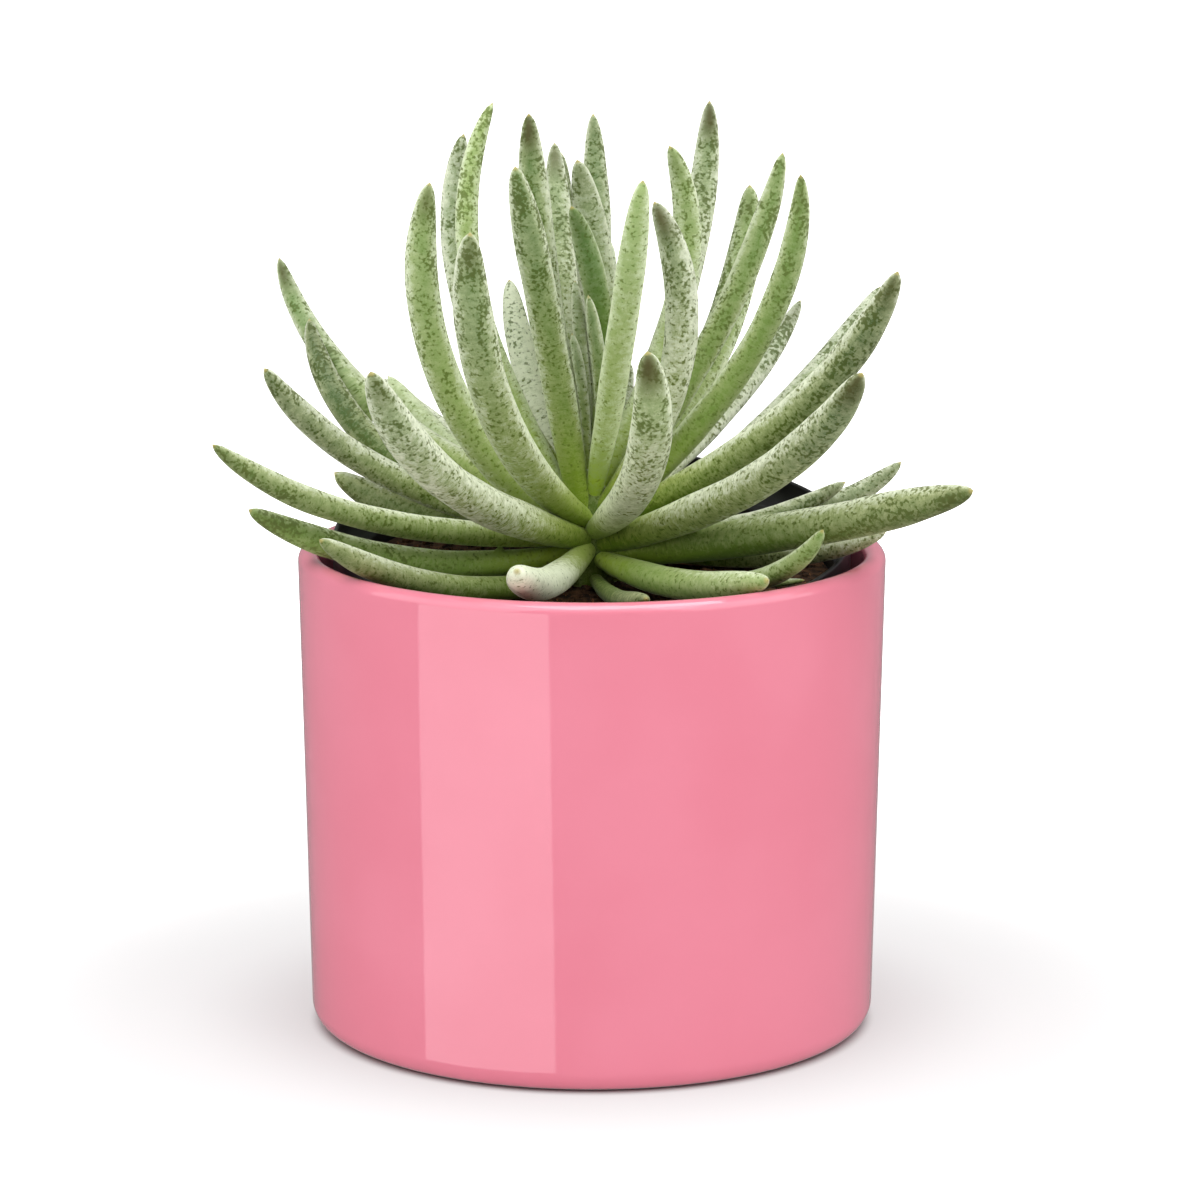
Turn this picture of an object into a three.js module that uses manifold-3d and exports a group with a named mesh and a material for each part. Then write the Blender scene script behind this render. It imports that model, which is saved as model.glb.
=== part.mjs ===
// A felted, finger-leaved senecio in its black growing pot, standing in a pink glazed ceramic pot.
// Millimetres, +Z up, -Y is the front. The origin is the centre of the ceramic pot's foot,
// on the surface that it stands on.

import * as THREE from 'three';
import { mergeVertices } from 'three/addons/utils/BufferGeometryUtils.js';
import Module from 'manifold-3d';

const wasm = await Module();
wasm.setup();

// Driving dimensions
const CLEARANCE = 0.3; // gap that pieces in contact keep
const WELD = 1e-4; // corners nearer than this are one corner
const UP = new THREE.Vector3(0, 0, 1);

const POT = {
  height: 99,
  topRadius: 60,
  footRadius: 58,
  footFillet: 4.5,
  wall: 4.5,
  floor: 5,
  innerFillet: 4,
  sides: 64,
};

const NURSERY = {
  height: 91.6,
  rimRadius: 53, // a 10.5 cm growing pot
  rimHeight: 9,
  rimStep: 1.8,
  footRadius: 36,
  footFillet: 2,
  wall: 1,
  floor: 1.2,
  lean: 9, // degrees towards the front: its rim rests on the ceramic lip at the back
  rimCentre: new THREE.Vector3(0, 2.75, 101.4),
  drainHoles: 8,
  drainHoleRadius: 4,
  drainCircle: 27,
  sides: 48,
};

const SOIL = {
  belowRim: 11,
  mound: 2, // height of the middle over the edge
  lump: 0.5,
  lumpPitch: 2.5, // breadth of a lump's flank
  rings: 7,
  sides: 36,
};

// Stem: radius by height, from its foot in the peat to its tip between the youngest leaves
const STEM = {
  heights: [80, 98, 106, 114],
  radii: [5.5, 5, 3.6, 2.4],
  tip: 1.5, // height of the blunt cone on top
  sides: 12,
};

const degrees = THREE.MathUtils.degToRad;

// Points of a round stretch of a profile, from one angle to another in degrees
function arc(centreX, centreY, radius, from, to, steps) {
  const points = [];
  for (let step = 0; step <= steps; step += 1) {
    const angle = degrees(from + ((to - from) * step) / steps);
    points.push(new THREE.Vector2(centreX + radius * Math.cos(angle), centreY + radius * Math.sin(angle)));
  }
  return points;
}

// Keeps only positions, merges equal corners and drops the triangles that collapse on an axis
function closed(geometry) {
  geometry.deleteAttribute('normal');
  geometry.deleteAttribute('uv');
  const merged = mergeVertices(geometry, WELD);
  const index = merged.getIndex().array;
  const kept = [];
  for (let k = 0; k < index.length; k += 3) {
    const [a, b, c] = [index[k], index[k + 1], index[k + 2]];
    if (a !== b && b !== c && c !== a) {
      kept.push(a, b, c);
    }
  }
  merged.setIndex(kept);
  return merged;
}

function toSolid(geometry) {
  const vertProperties = new Float32Array(geometry.getAttribute('position').array);
  const triVerts = new Uint32Array(geometry.getIndex().array);
  return new wasm.Manifold(new wasm.Mesh({ numProp: 3, vertProperties, triVerts }));
}

function toGeometry(solid) {
  const { vertProperties, triVerts } = solid.getMesh();
  const geometry = new THREE.BufferGeometry();
  geometry.setAttribute('position', new THREE.Float32BufferAttribute(vertProperties, 3));
  geometry.setIndex(Array.from(triVerts));
  geometry.computeVertexNormals();
  return geometry;
}

// The largest of the bodies that cutting leaves
function mainBody(solid) {
  const bodies = solid.decompose();
  bodies.sort((one, other) => other.volume() - one.volume());
  return bodies[0];
}

// Turns a profile about +Z. The profile's x is the radius and its y the height.
function turned(profile, sides) {
  const geometry = new THREE.LatheGeometry(profile, sides);
  geometry.rotateX(Math.PI / 2);
  return closed(geometry);
}

// Ceramic pot: a slightly flared cylinder, one thickness of clay, with a full round lip
function ceramicPot() {
  const lip = POT.wall / 2;
  const flare = (POT.topRadius - POT.footRadius) / POT.height;
  const innerFoot = POT.footRadius + flare * POT.floor - POT.wall;
  const profile = [
    new THREE.Vector2(0, 0),
    ...arc(POT.footRadius - POT.footFillet, POT.footFillet, POT.footFillet, -90, 0, 4),
    ...arc(POT.topRadius - lip, POT.height - lip, lip, 0, 180, 6),
    ...arc(innerFoot - POT.innerFillet, POT.floor + POT.innerFillet, POT.innerFillet, 0, -90, 3),
    new THREE.Vector2(0, POT.floor),
  ];
  return turned(profile, POT.sides);
}

// Growing pot: a thin tapered shell with a stepped rim band and drain holes in its floor
function nurseryPot() {
  const { height, rimRadius, rimHeight, rimStep, footRadius, footFillet, wall, floor } = NURSERY;
  const bodyTop = rimRadius - rimStep;
  const profile = [
    new THREE.Vector2(0, 0),
    ...arc(footRadius - footFillet, footFillet, footFillet, -90, 0, 2),
    new THREE.Vector2(bodyTop, height - rimHeight),
    new THREE.Vector2(rimRadius, height - rimHeight),
    new THREE.Vector2(rimRadius, height - wall / 2),
    new THREE.Vector2(rimRadius - wall / 2, height),
    new THREE.Vector2(rimRadius - wall, height - wall / 2),
    new THREE.Vector2(rimRadius - wall, height - rimHeight + wall),
    new THREE.Vector2(bodyTop - wall, height - rimHeight + wall),
    new THREE.Vector2(bodyTop - wall, height - rimHeight),
    new THREE.Vector2(footRadius - wall, floor + wall),
    new THREE.Vector2(footRadius - wall - wall, floor),
    new THREE.Vector2(0, floor),
  ];
  let solid = toSolid(turned(profile, NURSERY.sides));
  for (let k = 0; k < NURSERY.drainHoles; k += 1) {
    const angle = (2 * Math.PI * k) / NURSERY.drainHoles;
    const punch = new THREE.CylinderGeometry(NURSERY.drainHoleRadius, NURSERY.drainHoleRadius, 4 * floor, 12);
    punch.rotateX(Math.PI / 2);
    punch.translate(NURSERY.drainCircle * Math.cos(angle), NURSERY.drainCircle * Math.sin(angle), 0);
    solid = solid.subtract(toSolid(closed(punch)));
  }
  return toGeometry(solid);
}

// Height of the peat's top in the growing pot's own frame: a low mound with lumps
function soilHeight(x, y, edge) {
  const reach = Math.hypot(x, y) / edge;
  const { lumpPitch } = SOIL;
  const lumps = Math.sin(x / lumpPitch) * Math.cos(y / lumpPitch) + Math.sin((x - y) / lumpPitch) / 2;
  const level = NURSERY.height - SOIL.belowRim;
  return level + SOIL.mound * (1 - reach * reach) + SOIL.lump * lumps * (1 - reach ** 6);
}

// Inner radius of the growing pot's wall at a height above its floor
function nurseryInside(height) {
  const climb = (height - NURSERY.floor) / (NURSERY.height - NURSERY.rimHeight - NURSERY.floor);
  const top = NURSERY.rimRadius - NURSERY.rimStep - NURSERY.wall;
  return THREE.MathUtils.lerp(NURSERY.footRadius - NURSERY.wall, top, climb);
}

// Root ball and peat, with a plain hole for the stem
function soilBall(stemHole) {
  const bottom = NURSERY.floor + CLEARANCE;
  const level = NURSERY.height - SOIL.belowRim;
  const edge = nurseryInside(level) - CLEARANCE;
  const profile = [
    new THREE.Vector2(0, bottom),
    new THREE.Vector2(nurseryInside(bottom) - NURSERY.wall - CLEARANCE, bottom),
    new THREE.Vector2(nurseryInside(bottom + NURSERY.wall) - CLEARANCE, bottom + NURSERY.wall),
  ];
  for (let ring = SOIL.rings; ring >= 0; ring -= 1) {
    profile.push(new THREE.Vector2((edge * ring) / SOIL.rings, level));
  }
  const geometry = turned(profile, SOIL.sides);
  const position = geometry.getAttribute('position');
  for (let k = 0; k < position.count; k += 1) {
    if (position.getZ(k) > level - WELD) {
      position.setZ(k, soilHeight(position.getX(k), position.getY(k), edge));
    }
  }
  return toGeometry(toSolid(geometry).subtract(stemHole));
}

// Radius of the stem at a height
function stemRadius(height) {
  const { heights, radii } = STEM;
  const above = heights.findIndex((level) => height <= level);
  const upper = above < 0 ? heights.length - 1 : Math.max(1, above);
  const climb = (height - heights[upper - 1]) / (heights[upper] - heights[upper - 1]);
  return THREE.MathUtils.lerp(radii[upper - 1], radii[upper], Math.min(1, climb));
}

// Short stem, larger all round by grow where it is a cutter
function stemSolid(grow) {
  const top = STEM.heights[STEM.heights.length - 1];
  const profile = [new THREE.Vector2(0, STEM.heights[0] - grow)];
  STEM.heights.forEach((height, k) => {
    profile.push(new THREE.Vector2(STEM.radii[k] + grow, k === 0 ? height - grow : height));
  });
  profile.push(new THREE.Vector2(0, top + STEM.tip + grow));
  return toSolid(turned(profile, STEM.sides));
}

// Leaf form. Each leaf is a finger with an oval section. It leaves the stem at an azimuth
// (0 is the front, 90 the right) and a rise above level. Its curl upwards and its sway sideways
// grow along its length, as a power of the share of the length.
const LEAF = {
  sides: 8,
  steps: 100,
  stations: [0, 9, 20, 33, 47, 60, 73, 84, 92, 97], // steps that carry a ring
  rootShare: 0.6, // width at the root over full width
  fullAt: 32, // length in which a leaf reaches its full width
  tipShare: 0.3, // share of the length that tapers
  tipPower: 0.5,
  flatness: 0.86, // thickness over width
  dryFlatness: 0.3,
  sunk: 1, // depth of the root's centre in the stem
};

// How far a corner of the many-sided section stands out, so that its sides run along the oval
const CORNER_REACH = 1 / Math.cos(Math.PI / (2 * LEAF.sides));

// One column for each number in a leaf's row. Angles are in degrees.
const COLUMNS = ['azimuth', 'rise', 'curl', 'sway', 'height', 'length', 'width', 'bend'];

// Leaves in the order in which they were placed: where two press together, the later one gives way
const LEAVES = [
  [-19, -13, 39, -10, 99, 57, 7.5, 1],
  [18, 23, 63, 12, 103, 67, 8.5, 2],
  [-38, 18, 44, -3, 101, 82, 9, 2],
  [-65, 6, 35, 1, 101, 84, 6, 2],
  [46, 20, 34, 6, 100, 85, 8.5, 2],
  [62, 9, 10, 5, 98, 85, 9, 1],
  [-37, 27, 57, -8, 105, 81, 8.5, 1],
  [-59, 79, -8, -11, 106, 76, 7.5, 1],
  [19, 63, 12, -2, 111, 71, 6, 1],
  [-71, -10, 41, 1, 98.2, 71, 6.8, 1],
  [-53, -8, 42, 0, 93.6, 66, 6.2, 1],
  [10, -4, 20, -6, 93, 45, 4.5, 1],
  [31, -4, 22, -12, 97, 56, 7.2, 1.5],
  [48, -2, 57, 8, 95, 64, 5, 2.3],
  [61, -2, 15, 9, 93, 47, 2.3, 1],
  [86, 46, 47, 11, 104, 85, 6.5, 2],
  [69, 29, 39, 6, 103, 86, 8, 2],
  [-76, 32, 70, -7, 102, 85, 8, 1],
  [63, 50, 68, 8, 107, 70, 7.5, 1.4],
  [-91, 14, 49, -26, 101, 76, 6.5, 1.9],
  [-103, 1, 75, 22, 105, 78, 6.5, 1.4],
  [-129, 17, 20, 7, 100, 62, 5, 1],
  [75, -4, 31, 4, 99.5, 59, 5.5, 2.1],
  [99, 2, 31, 0, 100.5, 51, 4.5, 2.1],
  [105, 3, 43, 8, 100, 65, 5.5, 3.4],
  [138, 23, 26, -2, 103, 76, 5, 2],
  [124, 19, 28, -3, 100, 86, 5.4, 1],
  [120, 56, 64, 3, 112, 74, 6.5, 2],
  [115, 52, 26, 1, 106, 83, 6, 2],
  [140, 33, 58, -1, 105, 84, 8, 2],
  [148, 40, 47, -1, 109, 92, 6.5, 1.4],
  [-115, 17, 52, 9, 105, 90, 6, 2],
  [-112, 3, 36, -13, 100, 55, 7.5, 3],
  [-146, 14, 4, -2, 102, 78, 3, 1],
  [-98, 59, 57, 10, 105, 90, 5.5, 2],
  [-122, 41, 65, 3, 108, 84, 6.5, 1.4],
  [-152, 31, 45, -1, 105, 57, 6, 1],
  [150, 69, 50, -7, 113, 58, 5.5, 1],
  [173, 43, 25, -1, 108, 60, 4, 1],
  [164, 47, 66, -7, 109, 72, 7, 0.7],
  [177, 30, 54, -3, 107, 93, 6, 1],
  [-165, 58, 7, 4, 107, 80, 6, 1],
  [-176, 19, 61, -3, 107, 91, 5, 1],
  [-128, 73, 15, -2, 109, 79, 7, 1],
  [170, 19, 23, 0, 104, 51, 4, 1],
  [168, 10, 25, 0, 101, 66, 8, 1],
  [-179, 5, 32, 0, 98, 70, 8, 1],
  [-164, 12, 20, 0, 101, 68, 8, 1],
  [-139, 4, 25, 0, 99, 64, 7.5, 1],
];

// The youngest leaves, which are one with the stem's tip
const YOUNG_LEAVES = [
  [-170, 72, -14, 0, 110, 45, 3, 1.4],
  [80, 85, 17, 1, 113, 38, 3.5, 1],
  [-141, 95, -27, 0, 111, 32, 2.5, 1],
];

// Dead leaves on the peat: the point where each starts, then its row
const DRY_LEAVES = [
  { start: new THREE.Vector3(14, 9, 94.3), row: [88, -2, 6, 4, 0, 27, 6, 1] },
  { start: new THREE.Vector3(-29, 15, 94.1), row: [-84, 0, 8, 6, 0, 15, 4.5, 1] },
];

function leafFromRow(row) {
  const leaf = Object.fromEntries(COLUMNS.map((column, k) => [column, row[k]]));
  const azimuth = degrees(leaf.azimuth);
  const root = stemRadius(leaf.height) - LEAF.sunk;
  leaf.start = new THREE.Vector3(root * Math.sin(azimuth), -root * Math.cos(azimuth), leaf.height);
  leaf.flatness = LEAF.flatness;
  return leaf;
}

// Half the leaf's width at a share of its length
function leafHalfWidth(leaf, share) {
  const widening = 1 - (1 - Math.min(1, (share * leaf.length) / LEAF.fullAt)) ** 2;
  const tapering = 1 - (1 - Math.min(1, (1 - share) / LEAF.tipShare)) ** 2;
  return 0.5 * leaf.width * THREE.MathUtils.lerp(LEAF.rootShare, 1, widening) * tapering ** LEAF.tipPower;
}

// The leaf's bent centre line: at each step a point, the way its upper face looks and the way across
function leafLine(leaf) {
  const azimuth = degrees(leaf.azimuth);
  const rise = degrees(leaf.rise);
  const outward = new THREE.Vector3(Math.sin(azimuth), -Math.cos(azimuth), 0);
  const along = outward.clone().multiplyScalar(Math.cos(rise)).addScaledVector(UP, Math.sin(rise));
  const over = outward.clone().multiplyScalar(-Math.sin(rise)).addScaledVector(UP, Math.cos(rise));
  const side = along.clone().cross(over);
  const headingAt = (share) => {
    const lift = degrees(leaf.curl) * share ** leaf.bend;
    const drift = degrees(leaf.sway) * share ** leaf.bend;
    const heading = along.clone().multiplyScalar(Math.cos(lift)).addScaledVector(over, Math.sin(lift));
    return heading.multiplyScalar(Math.cos(drift)).addScaledVector(side, Math.sin(drift));
  };
  const point = leaf.start.clone();
  const line = [];
  for (let step = 0; step <= LEAF.steps; step += 1) {
    const share = step / LEAF.steps;
    const lift = degrees(leaf.curl) * share ** leaf.bend;
    const facing = over.clone().multiplyScalar(Math.cos(lift)).addScaledVector(along, -Math.sin(lift));
    line.push({ point: point.clone(), facing, across: headingAt(share).cross(facing) });
    point.addScaledVector(headingAt((step + 0.5) / LEAF.steps), leaf.length / LEAF.steps);
  }
  return line;
}

// A straight turned finger whose rings are then carried to the bent centre line
function leafSolid(leaf, grow = 0) {
  const profile = [new THREE.Vector2(0, 0)];
  LEAF.stations.forEach((step) => {
    profile.push(new THREE.Vector2(leafHalfWidth(leaf, step / LEAF.steps) * CORNER_REACH + grow, step));
  });
  profile.push(new THREE.Vector2(0, LEAF.steps));
  const geometry = closed(new THREE.LatheGeometry(profile, LEAF.sides));
  const line = leafLine(leaf);
  const position = geometry.getAttribute('position');
  for (let k = 0; k < position.count; k += 1) {
    const { point, facing, across } = line[Math.round(position.getY(k))];
    const corner = point.clone().addScaledVector(across, position.getX(k));
    corner.addScaledVector(facing, position.getZ(k) * leaf.flatness);
    position.setXYZ(k, corner.x, corner.y, corner.z);
  }
  return toSolid(geometry);
}

// Stem with the youngest leaves, larger all round by grow where it is a cutter
function crownSolid(grow = 0) {
  return YOUNG_LEAVES.reduce(
    (crown, row) => crown.add(leafSolid(leafFromRow(row), grow)),
    stemSolid(grow),
  );
}

function boxesMeet(one, other) {
  const [a, b] = [one.boundingBox(), other.boundingBox()];
  return [0, 1, 2].every((axis) => a.min[axis] < b.max[axis] && b.min[axis] < a.max[axis]);
}

// What is left of a solid beside the solids that were placed before it
function besides(solid, placed) {
  const near = placed.filter((other) => boxesMeet(solid, other));
  return mainBody(near.reduce((rest, other) => rest.subtract(other), solid));
}

function finish(color, roughness) {
  return new THREE.MeshStandardMaterial({ color, roughness, metalness: 0 });
}

const FINISHES = {
  glaze: finish('#f07f9b', 0.12),
  plastic: finish('#1b1c1e', 0.5),
  peat: finish('#33261d', 1),
  felt: finish('#a3b596', 0.9),
  youngFelt: finish('#9db97f', 0.9),
  dryLeaf: finish('#7b4f33', 0.95),
};

function piece(name, geometry, material) {
  const mesh = new THREE.Mesh(geometry, material);
  mesh.name = name;
  return mesh;
}

const object = new THREE.Group();
object.add(piece('pot', ceramicPot(), FINISHES.glaze));

// The growing pot and its peat share one leaning frame, whose origin is the middle of the pot's foot
const growing = new THREE.Group();
growing.rotation.x = degrees(NURSERY.lean);
growing.position.copy(NURSERY.rimCentre);
growing.position.sub(UP.clone().multiplyScalar(NURSERY.height).applyEuler(growing.rotation));
growing.updateMatrixWorld(true);
const toGrowing = growing.matrixWorld.clone().invert().elements;
growing.add(piece('nursery_pot', nurseryPot(), FINISHES.plastic));
growing.add(piece('soil', soilBall(stemSolid(CLEARANCE).transform(toGrowing)), FINISHES.peat));
object.add(growing);

object.add(piece('crown', toGeometry(crownSolid()), FINISHES.youngFelt));
const placed = [crownSolid(CLEARANCE)];
LEAVES.forEach((row, k) => {
  const leaf = leafFromRow(row);
  const solid = besides(leafSolid(leaf), placed);
  placed.push(leafSolid(leaf, CLEARANCE));
  object.add(piece(`leaf_${String(k + 1).padStart(2, '0')}`, toGeometry(solid), FINISHES.felt));
});

DRY_LEAVES.forEach(({ start, row }, k) => {
  const leaf = { ...leafFromRow(row), start, flatness: LEAF.dryFlatness };
  const solid = besides(leafSolid(leaf), placed);
  placed.push(leafSolid(leaf, CLEARANCE));
  object.add(piece(`dry_leaf_${k + 1}`, toGeometry(solid), FINISHES.dryLeaf));
});

export default object;
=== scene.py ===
# %% [markdown]
# # A felted senecio in a pink glazed pot
#
# This lesson dresses a model that is already measured and packed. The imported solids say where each
# piece is. Blender makes what the eye reads first: glaze, felt on the leaves, crumbly peat.
# Every new piece is built in millimetres in the same frame as the solids, and turned to metres once.

# %% Load the frame
import math
from functools import partial
from types import SimpleNamespace

import bmesh
import bpy
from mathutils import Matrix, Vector, noise
from mathutils.bvhtree import BVHTree


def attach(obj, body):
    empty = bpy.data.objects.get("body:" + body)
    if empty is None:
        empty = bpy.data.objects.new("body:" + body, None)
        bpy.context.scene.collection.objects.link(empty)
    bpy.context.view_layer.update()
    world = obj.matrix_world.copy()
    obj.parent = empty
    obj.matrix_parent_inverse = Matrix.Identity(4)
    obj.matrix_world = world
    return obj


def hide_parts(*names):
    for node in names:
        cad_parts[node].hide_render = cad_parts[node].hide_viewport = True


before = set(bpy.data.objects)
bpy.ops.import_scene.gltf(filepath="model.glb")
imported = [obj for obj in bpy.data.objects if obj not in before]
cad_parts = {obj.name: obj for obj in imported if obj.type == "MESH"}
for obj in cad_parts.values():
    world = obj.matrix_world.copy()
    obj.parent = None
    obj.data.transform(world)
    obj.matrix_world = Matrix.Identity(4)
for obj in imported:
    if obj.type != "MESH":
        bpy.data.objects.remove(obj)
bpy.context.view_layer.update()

MM = 0.001
UP = Vector((0, 0, 1))


# %% [markdown]
# A finished piece is one mesh whose object sits at the origin. It rides on the one body of the
# part, it hides the plain solid that it stands for, and it names the finish that it shows.

# %% Put a finished mesh in the scene
def mix(one, other, share):
    return one + (other - one) * share


def finished_piece(shape, name, finish, node=None):
    """Turns a bmesh in millimetres into a smooth piece in metres, in place of a CAD node."""
    bmesh.ops.scale(shape, vec=(MM, MM, MM), verts=shape.verts)
    mesh = bpy.data.meshes.new(name)
    shape.to_mesh(mesh)
    shape.free()
    mesh.shade_smooth()
    mesh.materials.append(finish)
    piece = bpy.data.objects.new(name, mesh)
    bpy.context.scene.collection.objects.link(piece)
    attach(piece, "root")
    if node:
        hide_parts(node)
    return piece


# %% [markdown]
# ## Materials
#
# Colours are written as sRGB hex values, as a colour picker shows them, and one function turns them
# to the linear light that Blender counts in. One small function adds a node, with its settings and
# links. The nodes that the finishes are made of stand in a table, under a plain word each: Blender's
# own name, its settings, the sockets that the values go to, in order, and the output that comes
# back. A `fade` maps a value smoothly from one range to another, which is 0 to 1 where none is given.

# %% Colours and nodes
def colour(code):
    """Linear RGBA of an sRGB hex value."""
    channels = [int(code[k:k + 2], 16) / 255 for k in (1, 3, 5)]
    linear = [c / 12.92 if c <= 0.04045 else ((c + 0.055) / 1.055) ** 2.4 for c in channels]
    return (*linear, 1)


ALL = slice(None)
NODES = {
    "coordinates": ("TexCoord", {}, (), "Object"),
    "attribute": ("Attribute", {}, (), "Vector"),
    "xyz": ("SeparateXYZ", {}, (0,), ALL),
    "length": ("VectorMath", {"operation": "LENGTH"}, (0,), "Value"),
    "facing": ("LayerWeight", {}, ("Blend",), "Facing"),
    "scaled": ("Mapping", {}, ("Vector", "Scale"), 0),
    "noise": ("TexNoise", {}, ("Vector", "Scale", "Detail", "Roughness", "Distortion"), 0),
    "relief": ("Bump", {}, ("Height", "Strength", "Distance"), 0),
    "blend": ("Mix", {"data_type": "RGBA"}, (0, 6, 7), 2),
    "average": ("Mix", {}, (0, 2, 3), 0),
    "fade": ("MapRange", {"interpolation_type": "SMOOTHSTEP"}, (0, 1, 2, 3, 4), 0),
    "plus": ("Math", {"operation": "ADD"}, (0, 1), 0),
    "minus": ("Math", {"operation": "SUBTRACT"}, (0, 1), 0),
    "times": ("Math", {"operation": "MULTIPLY"}, (0, 1), 0),
    "over": ("Math", {"operation": "DIVIDE"}, (0, 1), 0),
    "power": ("Math", {"operation": "POWER"}, (0, 1), 0),
    "times_plus": ("Math", {"operation": "MULTIPLY_ADD"}, (0, 1, 2), 0),
    "camera_ray": ("LightPath", {}, (), "Is Camera Ray"),
    "diffuse": ("BsdfDiffuse", {}, ("Color",), 0),
    "emission": ("Emission", {}, ("Strength",), 0),
    "both": ("AddShader", {}, (0, 1), 0),
}


def fill(node, inputs):
    """Gives each input a value, or links it to the output that its value comes from."""
    for socket, value in inputs.items():
        if isinstance(value, bpy.types.NodeSocket):
            node.id_data.links.new(value, node.inputs[socket])
        else:
            node.inputs[socket].default_value = value


def add_node(tree, word, *values, output=None, **settings):
    """Adds a node of the table with its values, and gives back its output."""
    kind, fixed, sockets, usual_output = NODES[word]
    made = tree.nodes.new("ShaderNode" + kind)
    for name, value in {**fixed, **settings}.items():
        setattr(made, name, value)
    fill(made, dict(zip(sockets, values)))
    return made.outputs[usual_output if output is None else output]


def new_finish(name):
    """An empty material, what adds a node to it, and its shader."""
    material = bpy.data.materials.new(name)
    material.use_nodes = True
    tree = material.node_tree
    return material, partial(add_node, tree), tree.nodes["Principled BSDF"]


# Most of what a noise gives lies between these two
NOISE_SPAN = (0.3, 0.7)


def pattern(add, vector, pitch, detail=2, roughness=0.5, distortion=0):
    """Noise whose spots are about pitch apart. Pitch is one length, or three on the vector's axes."""
    lengths = pitch if isinstance(pitch, tuple) else (pitch,) * 3
    placed = add("scaled", vector, tuple(1 / length for length in lengths))
    return add("noise", placed, 1, detail, roughness, distortion)


# %% [markdown]
# ### Pink glaze
#
# Earthenware dipped in an opaque coloured glaze and fired. The glass skin gives a sharp reflection
# over a soft body colour. It is never quite even: the glaze ripples very slightly over the clay, and
# it lies a little thicker in some places.

# %% Glaze on earthenware
GLAZE_POOL = 38 * MM
GLAZE_RIPPLE = 14 * MM
RIPPLE_DEPTH = 0.4 * MM
RIPPLE_STRENGTH = 0.08


def pink_glaze():
    material, add, shader = new_finish("pink_glaze_on_earthenware")
    place = add("coordinates")
    pooled = add("fade", pattern(add, place, GLAZE_POOL), 0.35, 0.65)
    fill(shader, {
        "Base Color": add("blend", pooled, colour("#e08093"), colour("#e38598")),
        "Normal": add("relief", pattern(add, place, GLAZE_RIPPLE, detail=3), RIPPLE_STRENGTH, RIPPLE_DEPTH),
        "Roughness": 0.06,
        "IOR": 1.52,
    })
    return material


GLAZE = pink_glaze()
print("made", GLAZE.name)

# %% [markdown]
# ### Black growing pot
#
# Thermoformed polypropylene sheet, thin and cheap. Its satin skin has a faint pebble from the mould
# and pale scuffs that run level round it, where it is handled.

# %% Thermoformed plastic
PLASTIC_CLOUD = 9 * MM
SATIN = (0.3, 0.48)
SCUFF_SIZE = (5 * MM, 5 * MM, 0.5 * MM)
PEBBLE_SIZE = 0.6 * MM
PEBBLE_DEPTH = 0.05 * MM
PEBBLE_STRENGTH = 0.15


def growing_pot_plastic():
    material, add, shader = new_finish("black_polypropylene")
    place = add("coordinates")
    cloudy = pattern(add, place, PLASTIC_CLOUD, detail=3)
    black = add("blend", cloudy, colour("#151517"), colour("#222225"))
    scuffed = add("fade", pattern(add, place, SCUFF_SIZE, detail=4), 0.6, 0.75, 0, 0.5)
    fill(shader, {
        "Base Color": add("blend", scuffed, black, colour("#46464a")),
        "Roughness": add("fade", cloudy, *NOISE_SPAN, *SATIN),
        "Normal": add("relief", pattern(add, place, PEBBLE_SIZE), PEBBLE_STRENGTH, PEBBLE_DEPTH),
        "IOR": 1.49,
    })
    return material


PLASTIC = growing_pot_plastic()
print("made", PLASTIC.name)

# %% [markdown]
# ### Peat
#
# Moist sphagnum peat: nearly black where it is wet, brown on the dry crumbs, with reddish fibres.
# It scatters light and shines nowhere, so it is rough with a strong small relief.

# %% Moist peat
CRUMB_SIZE = 2.2 * MM
CRUMB_DEPTH = 0.9 * MM
CRUMB_STRENGTH = 0.8
FIBRE_SIZE = (0.4 * MM, 3 * MM, 0.6 * MM)


def moist_peat():
    material, add, shader = new_finish("moist_peat")
    place = add("coordinates")
    crumb = pattern(add, place, CRUMB_SIZE, detail=5, roughness=0.65)
    fibre = pattern(add, place, FIBRE_SIZE, detail=3, distortion=0.6)
    dry = add("blend", add("fade", crumb, 0.35, 0.7), colour("#21170f"), colour("#60432c"))
    fill(shader, {
        "Base Color": add("blend", add("fade", fibre, 0.62, 0.74), dry, colour("#8f5d38")),
        "Normal": add("relief", crumb, CRUMB_STRENGTH, CRUMB_DEPTH),
        "Roughness": 0.95,
        "Specular IOR Level": 0.2,
    })
    return material


PEAT = moist_peat()
print("made", PEAT.name)

# %% [markdown]
# ### Felted leaf skin
#
# A senecio leaf is green tissue under a pressed felt of white hairs. Young felt is whole and silvery.
# As the leaf swells the felt parts: fine arcs of green cross the lower half, and olive spots gather
# towards the tip. Seen straight on, green shows through the felt. Seen along its surface, the eye
# passes through more hairs, so every leaf has a pale margin. That margin is painted into the colour
# by how far the surface turns from the eye: a painted sheen.
#
# The pattern must follow the bent leaf, so each point carries where it was on the straight leaf, in
# millimetres, in `leaf_space`. `leaf_place` holds its share of the length, its distance from the tip
# and how yellow the leaf is. `leaf_coat` holds how thick the felt is, how spotted and how finely torn.
# `leaf_tone` holds up to which share the felt is worn thin, how deep the green is, which also paints
# shade on leaves that lie in shadow, and how dark the tip.

# %% What a leaf tells its skin
LEAF_LAYERS = ("leaf_space", "leaf_place", "leaf_coat", "leaf_tone")


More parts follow.
